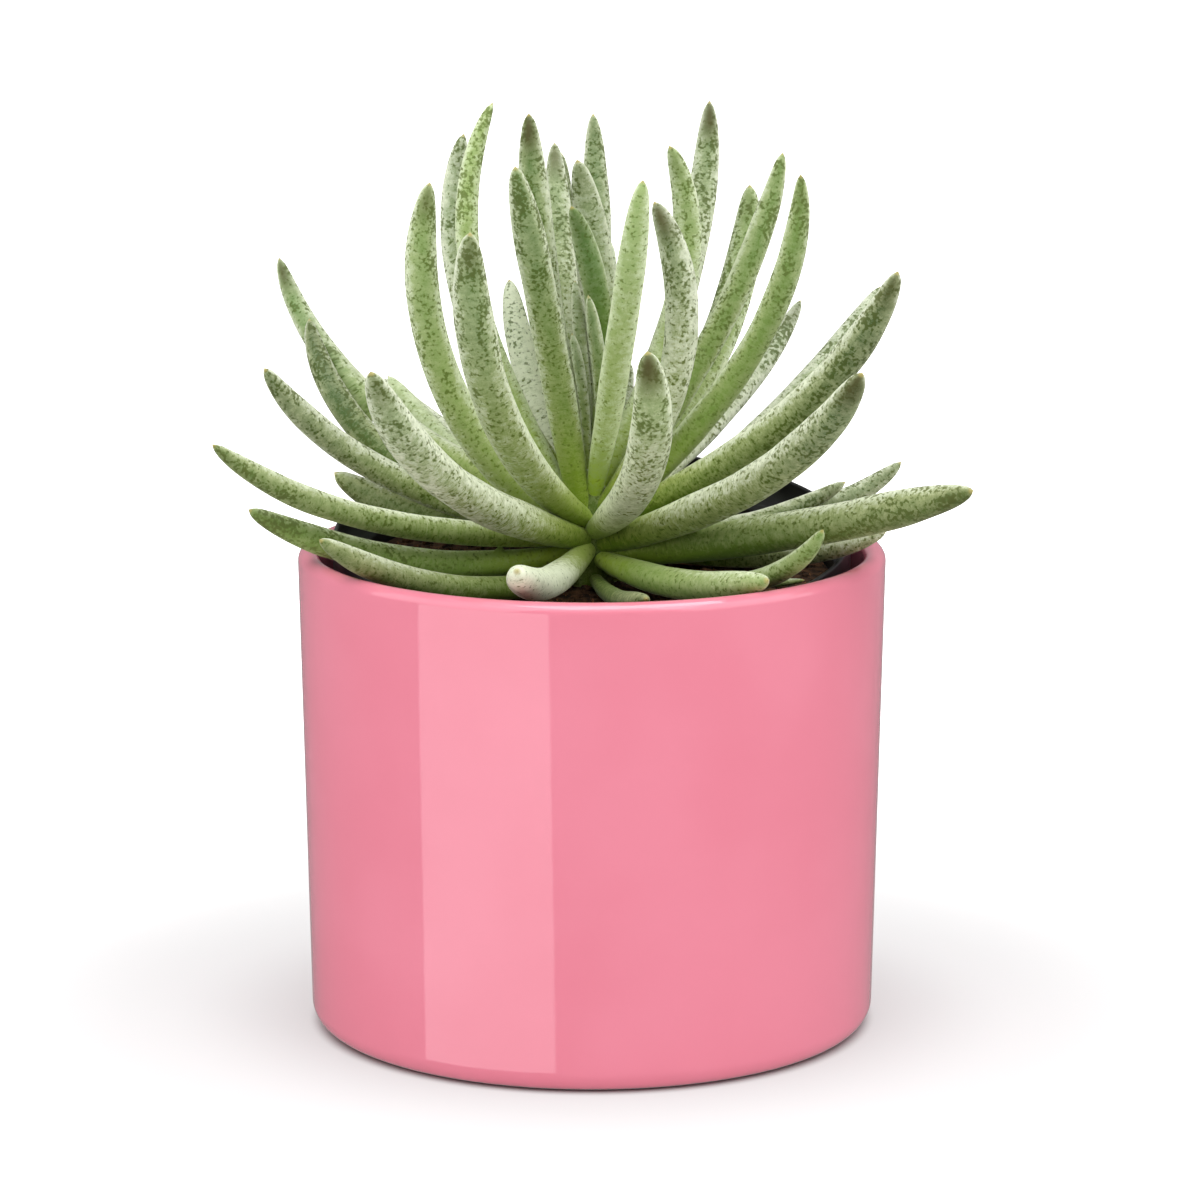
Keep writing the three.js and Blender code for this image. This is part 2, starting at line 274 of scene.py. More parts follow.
def leaf_readings(add):
    """The outputs that the skin is made from: the layers of a leaf, and how its surface lies."""
    space, place, coat, tone = [add("attribute", attribute_name=name) for name in LEAF_LAYERS]
    share, to_tip, yellow = add("xyz", place)
    felt, spotted, torn = add("xyz", coat)
    worn, deep, dark_tip = add("xyz", tone)
    return SimpleNamespace(
        space=space, share=share, to_tip=to_tip, yellow=yellow, felt=felt, spotted=spotted, torn=torn,
        worn=worn, deep=deep, dark_tip=dark_tip,
        grazing=add("facing", 0.5),
        upward=add("xyz", add("coordinates", output="Normal"))[2],
        leaving=add("fade", share, 0.02, 0.4),
        ageing=add("fade", share, 0.35, 0.85),
    )


# %% [markdown]
# The tissue is bright yellow-green where the leaf leaves the stem, deeper green to the middle and
# greyer to the tip. An old leaf is deeper green, a fresh one yellower. The deep green is also painted
# shade: leaves that lie in shadow, low or deep in the crown, get it, and their dark bases paint the
# shade by the stem.

# %% Green tissue
def leaf_tissue(add, leaf):
    # Deep green is partly age and partly painted shade.
    base = add("blend", leaf.deep, colour("#84a02c"), colour("#4d6409"))
    middle = add("blend", leaf.deep, colour("#587a1c"), colour("#4a6009"))
    end = add("blend", leaf.deep, colour("#47703c"), colour("#3c4e1c"))
    green = add("blend", leaf.ageing, add("blend", leaf.leaving, base, middle), end)
    fresh = add("blend", leaf.leaving, colour("#adc440"), colour("#8cab52"))
    return add("blend", leaf.yellow, green, fresh)


# %% [markdown]
# Spots are small and soft. They come in crowds, and there are more of them towards the tip, so one
# noise draws the spots and a coarser one says where they are many. Tears are thin arcs across the
# leaf, mostly on its lower half, so their noise is squeezed along the leaf.

# %% Spots and tears
SPOT_SIZE = (0.9, 0.9, 0.7)
CROWD_SIZE = (3.5, 3.5, 6)
CROWDING = 0.2
CROWDS_AT_BASE, CROWDS_AT_TIP = 0.2, 1.3
TEAR_SIZE = (1.8, 1.8, 0.36)


def leaf_spots(add, leaf):
    crowd = add("fade", pattern(add, leaf.space, CROWD_SIZE, detail=1), *NOISE_SPAN)
    crowd = add("times", crowd, add("fade", leaf.share, 0.1, 1, CROWDS_AT_BASE, CROWDS_AT_TIP))
    crowd = add("times", crowd, leaf.spotted)
    freckles = pattern(add, leaf.space, SPOT_SIZE, detail=1)
    return add("fade", add("plus", freckles, add("times", crowd, CROWDING)), 0.59, 0.82)


def leaf_tears(add, leaf):
    arcs = pattern(add, leaf.space, TEAR_SIZE, detail=3, roughness=0.55, distortion=0.5)
    tears = add("times", add("fade", arcs, 0.48, 0.68), add("fade", leaf.share, 0.3, 0.9, 1, 0.5))
    return add("times", tears, leaf.torn)


# %% [markdown]
# How much felt the eye sees is one number, from 0 for bare tissue to 1 for white hairs. It starts
# from the coat of the leaf and gets thinner where the felt is worn off near the base and towards a
# dark tip. On faces that look down it gets thinner by how deep the green is: painted shade on the
# underside. The painted sheen margin draws it up to 1, grain and tufts make it uneven, and tears
# and spots open it.

# %% Felt over the tissue
HAIR_SIZE = (0.2, 0.2, 0.5)
GRAIN = 0.07
TUFT_SIZE = (2, 2, 1.5)
MOTTLING = 0.13
OPENING = 0.4
WORN_FELT = 0.2
# The pale margin is a painted sheen: colour that grows where the surface turns from the eye.
SHEEN_MARGIN_WIDTH = 0.75
SHEEN_MARGIN_STRENGTH = 1.3
BARE_SHEEN_MARGIN = 0.7
# Faces that look down lose felt and margin: painted shade on the underside, as if lit from above.
SHADED_UNDERSIDE = (0.2, -0.7)
UNDERSIDE_SHADE_SHEEN_LOSS = 0.7
UNDERSIDE_SHADE_FELT_LOSS = 0.2
TIP_FELT_LOSS = 0.6


def painted_sheen_margin(add, leaf, whole, underside_shade):
    """Painted sheen: how far the surface turns away from the eye, less where little felt is left and where
    underside shade is painted.
    """
    sheen_margin = add("times", add("power", leaf.grazing, SHEEN_MARGIN_WIDTH), SHEEN_MARGIN_STRENGTH, use_clamp=True)
    sheen_margin = add("times", sheen_margin, add("fade", leaf.felt, 0, 0.15, BARE_SHEEN_MARGIN, 1))
    sheen_margin = add("times", sheen_margin, whole)
    return add("times", sheen_margin, add("times_plus", underside_shade, -UNDERSIDE_SHADE_SHEEN_LOSS, 1))


def felt_seen(add, leaf, hairs, spots, tears):
    """The amount of felt that shows, with painted sheen and painted underside shade, and the sheen margin
    in it.
    """
    whole = add("fade", add("over", leaf.share, leaf.worn), 0.1, 1, WORN_FELT, 1)
    # Painted shade: faces that look down show less felt, more so on a deep green leaf.
    underside_shade = add("times", add("fade", leaf.upward, *SHADED_UNDERSIDE), leaf.deep)
    sheen_margin = painted_sheen_margin(add, leaf, whole, underside_shade)
    thinning = add("times", add("fade", leaf.share, 0.5, 1, 0, TIP_FELT_LOSS), leaf.dark_tip)
    felt = add("times", add("times", leaf.felt, whole), add("minus", 1, thinning))
    felt = add("average", sheen_margin, add("times_plus", underside_shade, -UNDERSIDE_SHADE_FELT_LOSS, felt), 1)
    grain = add("fade", hairs, *NOISE_SPAN, GRAIN, -GRAIN)
    tufts = pattern(add, leaf.space, TUFT_SIZE, detail=4, roughness=0.65)
    mottled = add("fade", tufts, *NOISE_SPAN, MOTTLING, -MOTTLING)
    felt = add("plus", felt, add("plus", grain, mottled))
    felt = add("minus", felt, add("times", tears, OPENING))
    return add("minus", felt, add("times", spots, OPENING), use_clamp=True), sheen_margin


# %% [markdown]
# Light that passes thin felt twice takes up green, so half covered skin is greener than a plain
# blend of tissue and hairs. That gives three colours: tissue, thin felt and thick felt. Some leaves
# end in a dark cap, and all of them in a hard little point.

# %% Colour of the skin
THIN_FELT = 0.5
SPOT_STAIN = 0.6
CAP_FROM, CAP_WHOLE = 11, 3
POINT_FROM, POINT_WHOLE = 0.9, 0.3
POINT_STRENGTH = 0.7


def skin_colour(add, leaf, felt, sheen_margin, spots):
    cool = add("blend", leaf.deep, colour("#90a47e"), colour("#92996c"))
    thin = add("blend", leaf.leaving, colour("#99a74c"), add("blend", leaf.ageing, colour("#909d62"), cool))
    thin = add("blend", leaf.yellow, thin, colour("#a5ba72"))
    thick = add("blend", leaf.leaving, colour("#d6dfa8"), colour("#e6ebd4"))
    thick = add("blend", leaf.yellow, thick, colour("#dfecc0"))
    to_thin = add("over", felt, THIN_FELT, use_clamp=True)
    to_thick = add("over", add("minus", felt, THIN_FELT), 1 - THIN_FELT, use_clamp=True)
    skin = add("blend", to_thick, add("blend", to_thin, leaf_tissue(add, leaf), thin), thick)
    skin = add("blend", add("times", spots, SPOT_STAIN), skin, colour("#50581c"))
    cap = add("times", add("fade", leaf.to_tip, CAP_FROM, CAP_WHOLE), leaf.dark_tip)
    skin = add("blend", add("times", cap, add("minus", 1, sheen_margin)), skin, colour("#454216"))
    point = add("fade", leaf.to_tip, POINT_FROM, POINT_WHOLE, 0, POINT_STRENGTH)
    return add("blend", point, skin, colour("#b0a25e"))


# %% [markdown]
# The felt is matt, with a weak sheen from the hairs that stand up, and the tears cut into its relief.

# %% Felt on a succulent leaf
HAIR_DEPTH = 0.1 * MM
HAIR_STRENGTH = 0.35
TEAR_DEPTH = 0.6


def felted_skin():
    material, add, shader = new_finish("felted_leaf_skin")
    leaf = leaf_readings(add)
    hairs = pattern(add, leaf.space, HAIR_SIZE, detail=4, roughness=0.75)
    spots, tears = leaf_spots(add, leaf), leaf_tears(add, leaf)
    felt, sheen_margin = felt_seen(add, leaf, hairs, spots, tears)
    height = add("minus", hairs, add("times", tears, TEAR_DEPTH))
    fill(shader, {
        "Base Color": skin_colour(add, leaf, felt, sheen_margin, spots),
        "Normal": add("relief", height, HAIR_STRENGTH, HAIR_DEPTH),
        "Roughness": 0.62,
        "Specular IOR Level": 0.3,
        "Sheen Weight": 0.15,
        "Sheen Roughness": 0.35,
        "Sheen Tint": colour("#eef2e4"),
    })
    return material


FELT = felted_skin()
print("made", FELT.name)

# %% [markdown]
# ### Dead leaf
#
# A dead leaf dries to brown papery skin with wrinkles along it, light brown on the ridges and dark in
# the folds.

# %% Dried leaf skin
WRINKLE_SIZE = (0.6, 0.6, 9)
WRINKLE_DEPTH = 0.3 * MM
WRINKLE_STRENGTH = 0.7
STAIN_SIZE = 4


def dried_skin():
    material, add, shader = new_finish("dried_leaf_skin")
    space = add("attribute", attribute_name="leaf_space")
    wrinkle = pattern(add, space, WRINKLE_SIZE, detail=4, roughness=0.6, distortion=0.5)
    stained = add("fade", pattern(add, space, STAIN_SIZE, detail=3), 0.5, 0.7, 0, 0.6)
    brown = add("blend", add("fade", wrinkle, 0.35, 0.65), colour("#452a1a"), colour("#9c6840"))
    fill(shader, {
        "Base Color": add("blend", stained, brown, colour("#b0865a")),
        "Normal": add("relief", wrinkle, WRINKLE_STRENGTH, WRINKLE_DEPTH),
        "Roughness": 0.75,
    })
    return material


DRIED = dried_skin()
print("made", DRIED.name)

# %% [markdown]
# ## Pots
#
# Both pots are turned forms, so each starts as half an outline that is spun about the upright axis.
# An outline needs few points: straight walls, and arcs at the lip and the foot.


# %% Spin an outline
def arc(centre, radius, start, end, steps):
    """Points of a round stretch of an outline. The centre is a radius and a height; degrees."""
    angles = [math.radians(mix(start, end, k / steps)) for k in range(steps + 1)]
    return [(centre[0] + radius * math.cos(a), centre[1] + radius * math.sin(a)) for a in angles]


def spun(outline, steps):
    """A closed turned form from an outline of radius and height pairs that starts and ends on the axis."""
    shape = bmesh.new()
    corners = [shape.verts.new((radius, 0, height)) for radius, height in outline]
    edges = [shape.edges.new(pair) for pair in zip(corners, corners[1:])]
    bmesh.ops.spin(
        shape, geom=corners + edges, axis=UP, cent=(0, 0, 0), angle=2 * math.pi, steps=steps, use_merge=True
    )
    bmesh.ops.remove_doubles(shape, verts=shape.verts, dist=1e-4)
    bmesh.ops.recalc_face_normals(shape, faces=shape.faces)
    return shape


# %% [markdown]
# ### Ceramic cover pot
#
# A slightly flared cylinder with one thickness of clay, a soft foot and a full round lip. The glossy
# glaze shows every facet, so the arcs have short steps and the spin has many.

# %% Ceramic pot
POT_HEIGHT = 99
POT_TOP_RADIUS = 60
POT_FOOT_RADIUS = 58
POT_WALL = 4.5
POT_FLOOR = 5
FOOT_FILLET = 4.5
INNER_FILLET = 4


def ceramic_pot():
    lip = POT_WALL / 2
    flare = (POT_TOP_RADIUS - POT_FOOT_RADIUS) / POT_HEIGHT
    inner_foot = POT_FOOT_RADIUS + flare * POT_FLOOR - POT_WALL
    foot = arc((POT_FOOT_RADIUS - FOOT_FILLET, FOOT_FILLET), FOOT_FILLET, -90, 0, 12)
    rim = arc((POT_TOP_RADIUS - lip, POT_HEIGHT - lip), lip, 0, 180, 20)
    inside = arc((inner_foot - INNER_FILLET, POT_FLOOR + INNER_FILLET), INNER_FILLET, 0, -90, 8)
    return spun([(0, 0), *foot, *rim, *inside, (0, POT_FLOOR)], steps=192)


pot = finished_piece(ceramic_pot(), "glazed_pot", GLAZE, "pot")
print("glazed pot:", len(pot.data.polygons), "faces")

# %% [markdown]
# ### Growing pot
#
# A thin tapered shell with a stepped rim band. It is spun upright and then leaned towards the front,
# because its rim rests on the ceramic lip at the back. Holes for drainage go through its floor: a
# Boolean modifier cuts them, and its result is kept as the mesh.

# %% Growing pot
GROWING_HEIGHT = 91.6
RIM_RADIUS = 53
RIM_BAND = 9
RIM_STEP = 1.8
GROWING_FOOT = 36
GROWING_WALL = 1
GROWING_FLOOR = 1.2
FOOT_ROUNDING = 2
STEP_ROUNDING = 0.6
STEP_SLOPE = 0.4
LEAN = math.radians(9)
RIM_CENTRE = Vector((0, 2.75, 101.4))
DRAIN_HOLES = 8
DRAIN_RADIUS = 4
DRAIN_CIRCLE = 27
PEG_LENGTH = 8


def lean_into_place(shape):
    """Carries what is built upright on its own foot to where the growing pot leans."""
    bmesh.ops.translate(shape, verts=shape.verts, vec=(0, 0, -GROWING_HEIGHT))
    turn = UP.rotation_difference(Vector((0, -math.sin(LEAN), math.cos(LEAN)))).to_matrix()
    bmesh.ops.rotate(shape, verts=shape.verts, cent=(0, 0, 0), matrix=turn)
    bmesh.ops.translate(shape, verts=shape.verts, vec=RIM_CENTRE)


def growing_pot():
    top = RIM_RADIUS - RIM_STEP
    band = GROWING_HEIGHT - RIM_BAND
    edge = GROWING_WALL / 2
    outline = [
        (0, 0),
        *arc((GROWING_FOOT - FOOT_ROUNDING, FOOT_ROUNDING), FOOT_ROUNDING, -90, 0, 5),
        (top, band - STEP_SLOPE),
        *arc((RIM_RADIUS - STEP_ROUNDING, band + STEP_ROUNDING), STEP_ROUNDING, -90, 0, 3),
        *arc((RIM_RADIUS - edge, GROWING_HEIGHT - edge), edge, 0, 180, 8),
        (RIM_RADIUS - GROWING_WALL, band + GROWING_WALL),
        (top - GROWING_WALL, band + GROWING_WALL),
        (top - GROWING_WALL, band),
        (GROWING_FOOT - GROWING_WALL, GROWING_FLOOR + GROWING_WALL),
        (GROWING_FOOT - 2 * GROWING_WALL, GROWING_FLOOR),
        (0, GROWING_FLOOR),
    ]
    shape = spun(outline, steps=144)
    lean_into_place(shape)
    return shape


def drain_cutters():
    shape = bmesh.new()
    for k in range(DRAIN_HOLES):
        angle = 2 * math.pi * k / DRAIN_HOLES
        peg = bmesh.ops.create_cone(
            shape, cap_ends=True, segments=24, radius1=DRAIN_RADIUS, radius2=DRAIN_RADIUS, depth=PEG_LENGTH
        )
        middle = (DRAIN_CIRCLE * math.cos(angle), DRAIN_CIRCLE * math.sin(angle), 0)
        bmesh.ops.translate(shape, verts=peg["verts"], vec=middle)
    lean_into_place(shape)
    return shape


growing = finished_piece(growing_pot(), "growing_pot", PLASTIC, "nursery_pot")
cutter = finished_piece(drain_cutters(), "drain_cutters", PLASTIC)
drain = growing.modifiers.new("drain", "BOOLEAN")
drain.operation = "DIFFERENCE"
drain.object = cutter
cut_mesh = bpy.data.meshes.new_from_object(growing.evaluated_get(bpy.context.evaluated_depsgraph_get()))
growing.modifiers.clear()
growing.data = cut_mesh
bpy.data.objects.remove(cutter)
print("growing pot:", len(growing.data.polygons), "faces,", DRAIN_HOLES, "drain holes")

# %% [markdown]
# ### Root ball and peat
#
# The root ball fills the growing pot. Only its top shows, between the leaves, so the top gets the
# work: a low mound whose rings are pushed up and down by noise, and crumbs of peat strewn over it.
# A crumb is repeated hundreds of times, so each is a ball of twenty faces, squashed and turned.

# %% Peat
SOIL_BELOW_RIM = 11
SOIL_MOUND = 2
SOIL_LEVEL = GROWING_HEIGHT - SOIL_BELOW_RIM
SOIL_GAP = 0.3
SOIL_RINGS = 44
BOTTOM_INSET = 1.4
BOTTOM_BEVEL = 1
LUMP_PITCH = 5
LUMP_HEIGHT = 0.7
CRUMBS = 900
CRUMB_RADII = (0.35, 1.3)
CRUMB_SQUASH = ((0.7, 1.5), (0.7, 1.2), (0.5, 0.9))
CRUMB_MARGIN = 2.5
CRUMB_LIFT = 0.2
CRUMB_SEED = 7


def inside_radius(height):
    climb = (height - GROWING_FLOOR) / (GROWING_HEIGHT - RIM_BAND - GROWING_FLOOR)
    return mix(GROWING_FOOT - GROWING_WALL, RIM_RADIUS - RIM_STEP - GROWING_WALL, climb)


SOIL_EDGE = inside_radius(SOIL_LEVEL) - SOIL_GAP


def peat_top(x, y):
    """Height of the peat over a point, in the growing pot's own frame."""
    reach = math.hypot(x, y) / SOIL_EDGE
    lumps = noise.fractal(Vector((x, y, 0)) / LUMP_PITCH, 0.9, 2, 4)
    return SOIL_LEVEL + SOIL_MOUND * (1 - reach * reach) + LUMP_HEIGHT * lumps * (1 - reach ** 8)


def root_ball():
    bottom = GROWING_FLOOR + SOIL_GAP
    side = bottom + BOTTOM_BEVEL
    outline = [(0, bottom), (inside_radius(bottom) - BOTTOM_INSET, bottom)]
    outline.append((inside_radius(side) - SOIL_GAP, side))
    outline += [(SOIL_EDGE * k / SOIL_RINGS, SOIL_LEVEL) for k in range(SOIL_RINGS, -1, -1)]
    shape = spun(outline, steps=180)
    for vert in shape.verts:
        if vert.co.z > SOIL_LEVEL - 0.01:
            vert.co.z = peat_top(vert.co.x, vert.co.y)
    return shape


def strew_crumbs(shape):
    """Adds small squashed balls on the peat, the larger ones rarer."""
    noise.seed_set(CRUMB_SEED)
    for _ in range(CRUMBS):
        angle = 2 * math.pi * noise.random()
        out = (SOIL_EDGE - CRUMB_MARGIN) * math.sqrt(noise.random())
        radius = mix(*CRUMB_RADII, noise.random() ** 3)
        crumb = bmesh.ops.create_icosphere(shape, subdivisions=1, radius=radius)["verts"]
        squash = [mix(low, high, noise.random()) for low, high in CRUMB_SQUASH]
        bmesh.ops.scale(shape, verts=crumb, vec=squash)
        x, y = out * math.cos(angle), out * math.sin(angle)
        bmesh.ops.translate(shape, verts=crumb, vec=(x, y, peat_top(x, y) + CRUMB_LIFT * radius))


peat_shape = root_ball()
strew_crumbs(peat_shape)
lean_into_place(peat_shape)
peat = finished_piece(peat_shape, "root_ball", PEAT, "soil")
print("root ball with", CRUMBS, "crumbs:", len(peat.data.polygons), "faces")

# %% [markdown]
# ## Plant
#
# Each leaf is a bent finger with an oval section. The table gives one leaf a row: where it leaves
# the stem (azimuth, 0 at the front and 90 at the right, and height), how steeply it rises, how far it
# curls up and sways sideways on its way, its length and width, and the power with which it bends.
# The last seven numbers are its coat: how thick the felt is, how spotted, how finely torn, how yellow,
# up to which share of its length it is worn, how deep the green is, which also paints shade on leaves
# that lie in shadow, and how dark the tip.
# A dead leaf lies on the peat, so the point where it starts stands before its row.

# %% Table of leaves
COLUMNS = (
    "azimuth rise curl sway height length width bend felt spotted torn yellow worn deep dark_tip".split()
)

LEAVES = [
    (-19, -13, 39, -10, 99, 57, 7.5, 1, 1, 0.1, 0.1, 0.2, 0.6, 0.3, 0),
    (18, 23, 63, 12, 103, 67, 8.5, 2, 0.7, 0.9, 0.4, 0.3, 0.25, 0.5, 1),
    (-38, 18, 44, -3, 101, 82, 9, 2, 0.5, 0.7, 0.7, 0.1, 0.35, 0.5, 0.4),
    (-65, 6, 35, 1, 101, 84, 6, 2, 0.2, 1, 0.6, 0.3, 0.15, 0.9, 0.2),
    (46, 20, 34, 6, 100, 85, 8.5, 2, 0.3, 0.8, 0.6, 0, 0.3, 0.7, 0.9),
    (62, 9, 10, 5, 98, 85, 9, 1, 0.15, 0.9, 0.4, 0.2, 0.7, 1, 0.3),
    (-37, 27, 57, -8, 105, 81, 8.5, 1, 0.35, 0.9, 0.4, 0.2, 0.3, 0.5, 0.5),
    (-59, 79, -8, -11, 106, 76, 7.5, 1, 0.25, 1, 0.5, 0.2, 0.35, 0.5, 0.1),
    (19, 63, 12, -2, 111, 71, 6, 1, 0.35, 0.2, 0.2, 0.7, 0.2, 0, 0),
    (-71, -10, 41, 1, 98.2, 71, 6.8, 1, 0.05, 1, 0.4, 0.6, 0.6, 0.8, 0.3),
    (-53, -8, 42, 0, 93.6, 66, 6.2, 1, 0.2, 0.3, 0.5, 0.2, 0.9, 1, 0),
    (10, -4, 20, -6, 93, 45, 4.5, 1, 0, 0.4, 1, 0, 1.5, 1, 0),
    (31, -4, 22, -12, 97, 56, 7.2, 1.5, 0.15, 0.4, 0.5, 0.5, 1.2, 0.7, 0),
    (48, -2, 57, 8, 95, 64, 5, 2.3, 0.05, 0.5, 0.4, 0.5, 0.8, 0.7, 0),
    (61, -2, 15, 9, 93, 47, 2.3, 1, 0.15, 0.5, 0.4, 0.4, 0.5, 1, 0),
    (86, 46, 47, 11, 104, 85, 6.5, 2, 0.1, 0.8, 0.4, 0.5, 0.05, 0.6, 0.3),
    (69, 29, 39, 6, 103, 86, 8, 2, 0.3, 1, 0.6, 0, 0.4, 0.8, 0.6),
    (-76, 32, 70, -7, 102, 85, 8, 1, 0.32, 0.9, 0.3, 0.5, 0.05, 0.5, 0.6),
    (63, 50, 68, 8, 107, 70, 7.5, 1.4, 0.7, 0.9, 0.3, 0, 0.3, 0.6, 1),
    (-91, 14, 49, -26, 101, 76, 6.5, 1.9, 0.4, 0.9, 0.5, 0, 0.15, 0.7, 0.1),
    (-103, 1, 75, 22, 105, 78, 6.5, 1.4, 0.05, 0.9, 0.5, 0, 0.3, 0.7, 0.3),
    (-129, 17, 20, 7, 100, 62, 5, 1, 0.5, 0.2, 0.2, 0.7, 0.2, 0, 0),
    (75, -4, 31, 4, 99.5, 59, 5.5, 2.1, 0.6, 0.6, 0.5, 0, 0.9, 1, 0),
    (99, 2, 31, 0, 100.5, 51, 4.5, 2.1, 0.3, 0.7, 0.6, 0, 0.3, 0.7, 0.3),
    (105, 3, 43, 8, 100, 65, 5.5, 3.4, 0.4, 0.7, 0.6, 0, 0.3, 0.6, 0.2),
    (138, 23, 26, -2, 103, 76, 5, 2, 0.8, 1, 0.3, 0, 0.1, 0.4, 0.8),
    (124, 19, 28, -3, 100, 86, 5.4, 1, 0.5, 1, 0.6, 0, 0.3, 0.4, 0),
    (120, 56, 64, 3, 112, 74, 6.5, 2, 0.5, 0.7, 0.5, 0.6, 0.1, 0.3, 0.3),
    (115, 52, 26, 1, 106, 83, 6, 2, 0.15, 1, 0.3, 0.4, 0.1, 0.6, 0.1),
    (140, 33, 58, -1, 105, 84, 8, 2, 0.4, 1, 0.5, 0.5, 0.05, 0.3, 0.3),
    (148, 40, 47, -1, 109, 92, 6.5, 1.4, 0.8, 1, 0.3, 0.1, 0.3, 0.5, 1),
    (-115, 17, 52, 9, 105, 90, 6, 2, 0.3, 1, 0.4, 0.3, 0.3, 0.3, 1),
    (-112, 3, 36, -13, 100, 55, 7.5, 3, 0.1, 0.7, 0.5, 0.2, 0.9, 1, 0.1),
    (-146, 14, 4, -2, 102, 78, 3, 1, 0.6, 0.5, 0.5, 0, 0.3, 0.4, 0),
    (-98, 59, 57, 10, 105, 90, 5.5, 2, 0.5, 1, 0.4, 0.8, 0.05, 0.1, 0.1),
    (-122, 41, 65, 3, 108, 84, 6.5, 1.4, 0.65, 0.8, 0.3, 0.1, 0.3, 0.3, 0.2),
    (-152, 31, 45, -1, 105, 57, 6, 1, 1, 0.4, 0.5, 0.2, 0.2, 0, 0),
    (150, 69, 50, -7, 113, 58, 5.5, 1, 0.02, 0.5, 0.2, 0.3, 0.3, 0.2, 0.3),
    (173, 43, 25, -1, 108, 60, 4, 1, 0.5, 0.5, 0.5, 0, 0.3, 0.3, 0),
    (164, 47, 66, -7, 109, 72, 7, 0.7, 0.6, 0.7, 0.5, 0.1, 0.3, 0.5, 0.3),
    (177, 30, 54, -3, 107, 93, 6, 1, 0.3, 0.8, 0.5, 0.1, 0.3, 0.5, 0.2),
    (-165, 58, 7, 4, 107, 80, 6, 1, 0.6, 1, 0.3, 0.1, 0.3, 0.5, 1),
    (-176, 19, 61, -3, 107, 91, 5, 1, 0.25, 0.7, 0.5, 0, 0.3, 0.6, 0.2),
    (-128, 73, 15, -2, 109, 79, 7, 1, 0.4, 1, 0.3, 0.2, 0.3, 0.6, 1),
    (170, 19, 23, 0, 104, 51, 4, 1, 0.25, 0.7, 0.5, 0, 0.3, 0.6, 0.2),
    (168, 10, 25, 0, 101, 66, 8, 1, 0.3, 0.6, 0.6, 0, 0.4, 0.6, 0.2),
    (-179, 5, 32, 0, 98, 70, 8, 1, 0.25, 0.6, 0.6, 0, 0.4, 0.7, 0.2),
    (-164, 12, 20, 0, 101, 68, 8, 1, 0.3, 0.6, 0.6, 0, 0.4, 0.6, 0.2),
    (-139, 4, 25, 0, 99, 64, 7.5, 1, 0.25, 0.6, 0.6, 0, 0.4, 0.7, 0.2),
]
YOUNG_LEAVES = [
    (-170, 72, -14, 0, 110, 45, 3, 1.4, 0.4, 0.4, 0.3, 0.2, 0.2, 0.5, 0),
    (80, 85, 17, 1, 113, 38, 3.5, 1, 0.2, 0.2, 0.2, 0.2, 0.2, 0.5, 0),
    (-141, 95, -27, 0, 111, 32, 2.5, 1, 0.4, 0.3, 0.3, 0.1, 0.2, 0.5, 0),
]
DRY_LEAVES = [
    ((14, 9, 94.3), (88, -2, 6, 4, 0, 27, 6, 1, 0, 0, 0, 0, 1, 0, 0)),
    ((-29, 15, 94.1), (-84, 0, 8, 6, 0, 15, 4.5, 1, 0, 0, 0, 0, 1, 0, 0)),
]


def leaf_from_row(row):
    return SimpleNamespace(**dict(zip(COLUMNS, row)))


# %% [markdown]
# A straight leaf is a turned form too: an outline of half widths, spun and then pressed a little
# flat. It widens over its first centimetres, keeps its width, and rounds off to a small hard point.
# The bent centre line is summed from short steps, and each ring of the straight leaf is carried to
# its step. Fine waves in the width keep two leaves from being alike.

# %% Shape of a leaf
LEAF_SIDES = 32
LEAF_STEPS = 240
LEAF_RINGS = 76
ROOT_STEPS = 2
ROOT_LENGTH = 5
ROOT_SHARE = 0.6
FULL_AT = 32
TIP_SHARE = 0.3
TIP_FULLNESS = 2.1
POINT_LENGTH = 0.5
RING_EASING = 1.5
ROOT_NARROWING = 0.8
WAVE_HEIGHT = 0.06
WAVES_ACROSS = 0.35
WAVES_ALONG = 0.09
NEXT_WAVE = 9
NEXT_PATTERN = Vector((0, 13, 37))
FLATNESS = 0.86
DRY_FLATNESS = 0.3
SUNK = 1


def half_width(leaf, share):
    widening = 1 - (1 - min(1, share * leaf.length / FULL_AT)) ** 2
    taper = 1 - min(1, (1 - share) / TIP_SHARE)
    tapering = math.sqrt(1 - taper ** TIP_FULLNESS)
    point = 1 - math.exp(-(1 - share) * leaf.length / POINT_LENGTH)
    return 0.5 * leaf.width * mix(ROOT_SHARE, 1, widening) * tapering * point


def straight_leaf(leaf, flatness, seed):
    """A closed straight leaf, in millimetres across, and in height in steps from its sunk root."""
    eased = [1 - (1 - k / LEAF_RINGS) ** RING_EASING for k in range(LEAF_RINGS)]
    stations = sorted({round(LEAF_STEPS * share) for share in eased})
    outline = [(half_width(leaf, step / LEAF_STEPS), ROOT_STEPS + step) for step in stations]
    root = [(0, 0), (ROOT_NARROWING * outline[0][0], 0)]
    shape = spun([*root, *outline, (0, ROOT_STEPS + LEAF_STEPS)], steps=LEAF_SIDES)
    space, place, coat, tone = [shape.verts.layers.float_vector.new(name) for name in LEAF_LAYERS]
    for vert in shape.verts:
        share = max(0, (vert.co.z - ROOT_STEPS) / LEAF_STEPS)
        spot = Vector((vert.co.x, vert.co.y, share * leaf.length))
        across = WAVES_ACROSS * spot.x, WAVES_ACROSS * spot.y + NEXT_WAVE * seed
        swell = 1 + WAVE_HEIGHT * noise.noise(Vector((*across, WAVES_ALONG * spot.z)))
        vert[place] = (share, (1 - share) * leaf.length, leaf.yellow)
        vert.co.x *= swell
        vert.co.y *= swell * flatness
        vert[space] = spot + NEXT_PATTERN * seed
        vert[coat] = (leaf.felt, leaf.spotted, leaf.torn)
        vert[tone] = (leaf.worn, leaf.deep, leaf.dark_tip)
    return shape


